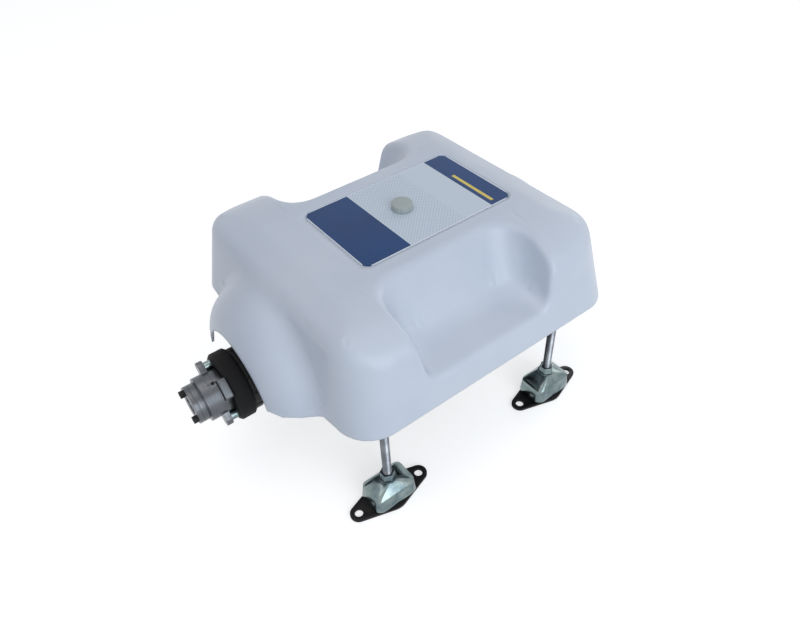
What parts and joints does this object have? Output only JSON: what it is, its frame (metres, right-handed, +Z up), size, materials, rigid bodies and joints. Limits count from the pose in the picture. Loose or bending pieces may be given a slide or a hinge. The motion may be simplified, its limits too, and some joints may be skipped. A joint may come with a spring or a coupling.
{
  "type": "electric inboard motor",
  "caption": "Electric inboard boat motor under a moulded lift-off cover with two hand recesses, on four flexible mounts, with a flexible shaft coupling at the front.",
  "frame": {"origin": "on the floor, under the middle of the part's box", "axes": "+Y runs along the shaft from the coupling to the rear, +X to the motor's right hand seen from the coupling, +Z up"},
  "size_m": [0.4276, 0.5963, 0.2958],
  "materials": {
    "cover_white": "satin moulded",
    "label_navy": "printed film, gloss",
    "knob_grey": "matte",
    "black_rubber": "matte",
    "zinc": "bright zinc plate",
    "black_steel": "black coat, satin",
    "hub_steel": "machined",
    "steel": "machined",
    "alloy": "milled",
    "motor_paint": "dark grey paint",
    "lamination": "stacked sheet",
    "copper": "bare copper",
    "black_plastic": "matte",
    "brass": "machined"
  },
  "bodies": {
    "chassis": {"cover_post": "alloy", "cover_pads": "black_rubber", "foot_front_right": "black_steel", "foot_front_left": "black_steel", "foot_rear_right": "black_steel", "foot_rear_left": "black_steel", "cap_front_right": "zinc", "cap_front_left": "zinc", "cap_rear_right": "zinc", "cap_rear_left": "zinc", "mount_rubbers": "black_rubber", "mount_studs": "zinc", "cap_nuts": "zinc", "height_nuts": "zinc", "clamp_nuts": "zinc", "right_rail": "alloy", "left_rail": "alloy", "front_plate": "alloy", "rear_plate": "alloy", "rear_crossmember": "alloy", "frame_screws": "black_steel", "motor_housing": "motor_paint", "front_end_bell": "motor_paint", "rear_end_bell": "motor_paint", "stator_core": "lamination", "stator_windings": "copper", "bearing_outer_rings": "steel", "thrust_housing": "alloy", "shaft_seal": "black_rubber", "motor_screws": "black_steel", "fan_cowl": "motor_paint", "terminal_block": "black_plastic", "phase_bars": "copper", "controller_tray": "alloy", "controller_base": "alloy", "controller_housing": "black_plastic", "controller_terminals": "brass", "gland_bracket": "alloy", "cable_glands": "black_plastic"},
    "shaft": {"rotor_core": "lamination", "rotor_magnets": "lamination", "output_shaft": "steel", "bearing_inner_rings": "steel", "bearing_balls": "steel", "fan": "black_plastic", "drive_flange": "black_steel", "flange_bolts": "black_steel", "rubber_disc": "black_rubber", "coupling_spacers": "zinc", "coupling_bolts": "zinc", "coupling_hub": "hub_steel", "clamp_screws": "black_steel", "hub_set_screw": "black_steel"},
    "cover_body": {"cover": "cover_white", "label_plate": "label_navy", "knob_bush": "brass"},
    "knob_body": {"knob": "knob_grey", "knob_screw": "steel"}
  },
  "joints": [
    {"name": "shaft_spin", "type": "hinge", "parent": "chassis", "child": "shaft", "pos_m": [0, 0.043, 0.1395], "axis": [0, 1, 0], "continuous": true},
    {"name": "cover_lift", "type": "slide", "parent": "chassis", "child": "cover_body", "axis": [0, 0, 1], "range_m": [0, 0.15]},
    {"name": "knob_turn", "type": "hinge", "parent": "cover_body", "child": "knob_body", "pos_m": [0, 0.054, 0.2867], "axis": [0, 0, 1], "continuous": true}
  ]
}
